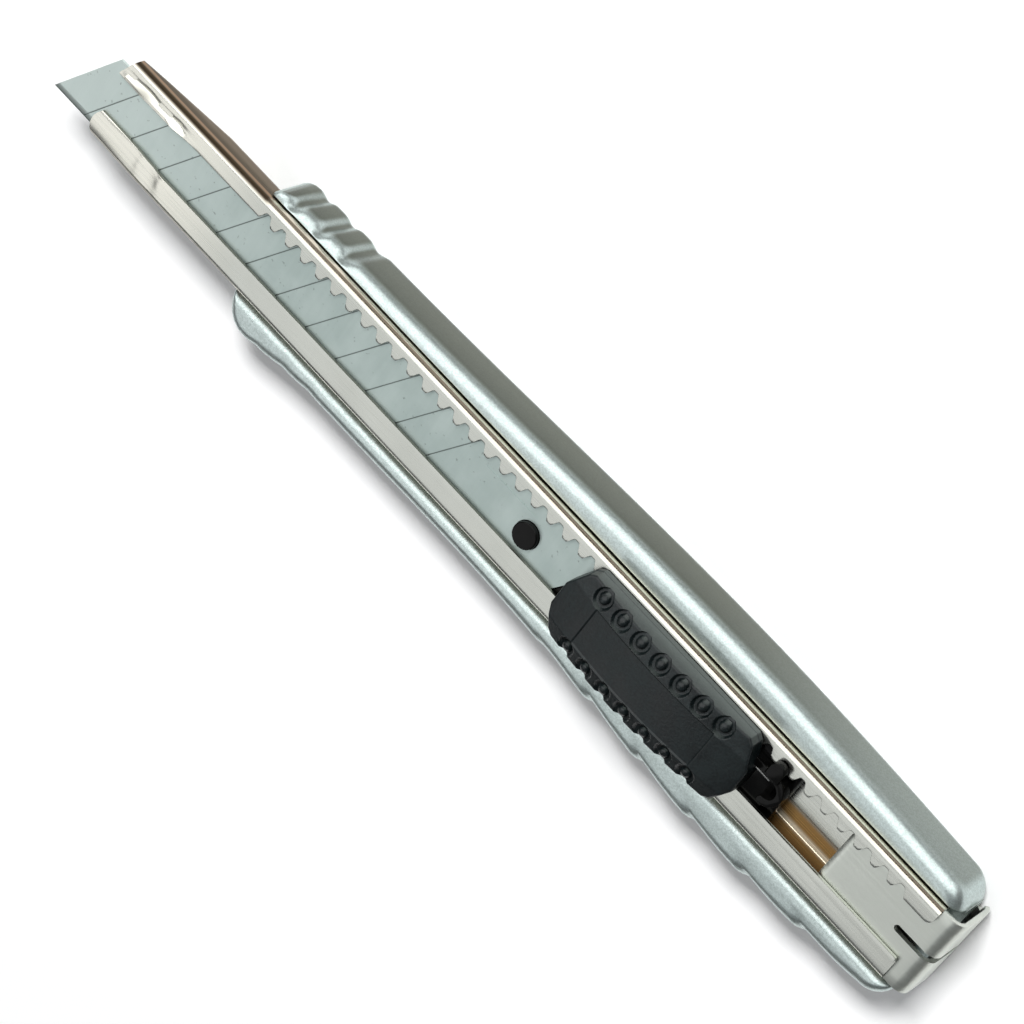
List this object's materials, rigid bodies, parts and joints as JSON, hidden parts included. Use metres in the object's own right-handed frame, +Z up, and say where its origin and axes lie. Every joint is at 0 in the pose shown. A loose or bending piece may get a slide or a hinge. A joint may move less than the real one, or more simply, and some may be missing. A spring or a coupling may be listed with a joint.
{
  "type": "utility knife",
  "caption": "Snap-off utility knife: steel blade guide with a wavy lock rack, sliding thumb lock, scored blade, silver die-cast grip and a pull-off rear clip that snaps blade segments.",
  "frame": {"origin": "middle of the bounding box at the level of the flat back, the face the knife lies on", "axes": "+X along the guide towards the blade tip, +Y towards the cutting edge side, +Z up from the back towards the thumb pad"},
  "size_m": [0.1388, 0.0208, 0.0121],
  "materials": {
    "silver_paint": "satin metallic",
    "guide_steel": "satin",
    "rivet_steel": "satin",
    "blade_steel": "matte",
    "carrier_black": "gloss",
    "pad_black": "matte",
    "spring_steel": "bright",
    "clip_steel": "satin"
  },
  "bodies": {
    "handle": {"handle_body": "silver_paint", "blade_channel": "guide_steel", "channel_rivets": "rivet_steel"},
    "carriage": {"blade_carrier": "carrier_black", "thumb_pad": "pad_black", "blade": "blade_steel"},
    "arm": {"lock_arm": "carrier_black", "lock_spring": "spring_steel"},
    "clip": {"end_clip": "clip_steel"}
  },
  "joints": [
    {"name": "carriage_slide", "type": "slide", "parent": "handle", "child": "carriage", "axis": [1, 0, 0], "range_m": [-0.00753, 0.05271]},
    {"name": "lock_arm_flex", "type": "hinge", "parent": "carriage", "child": "arm", "pos_m": [-0.0346, -0.00354, 0.00815], "axis": [0, 0, -1], "range_deg": [0, 7], "stiffness_Nm_per_rad": 0.3},
    {"name": "clip_pull_off", "type": "slide", "parent": "handle", "child": "clip", "axis": [-1, 0, 0], "range_m": [0, 0.014]}
  ]
}
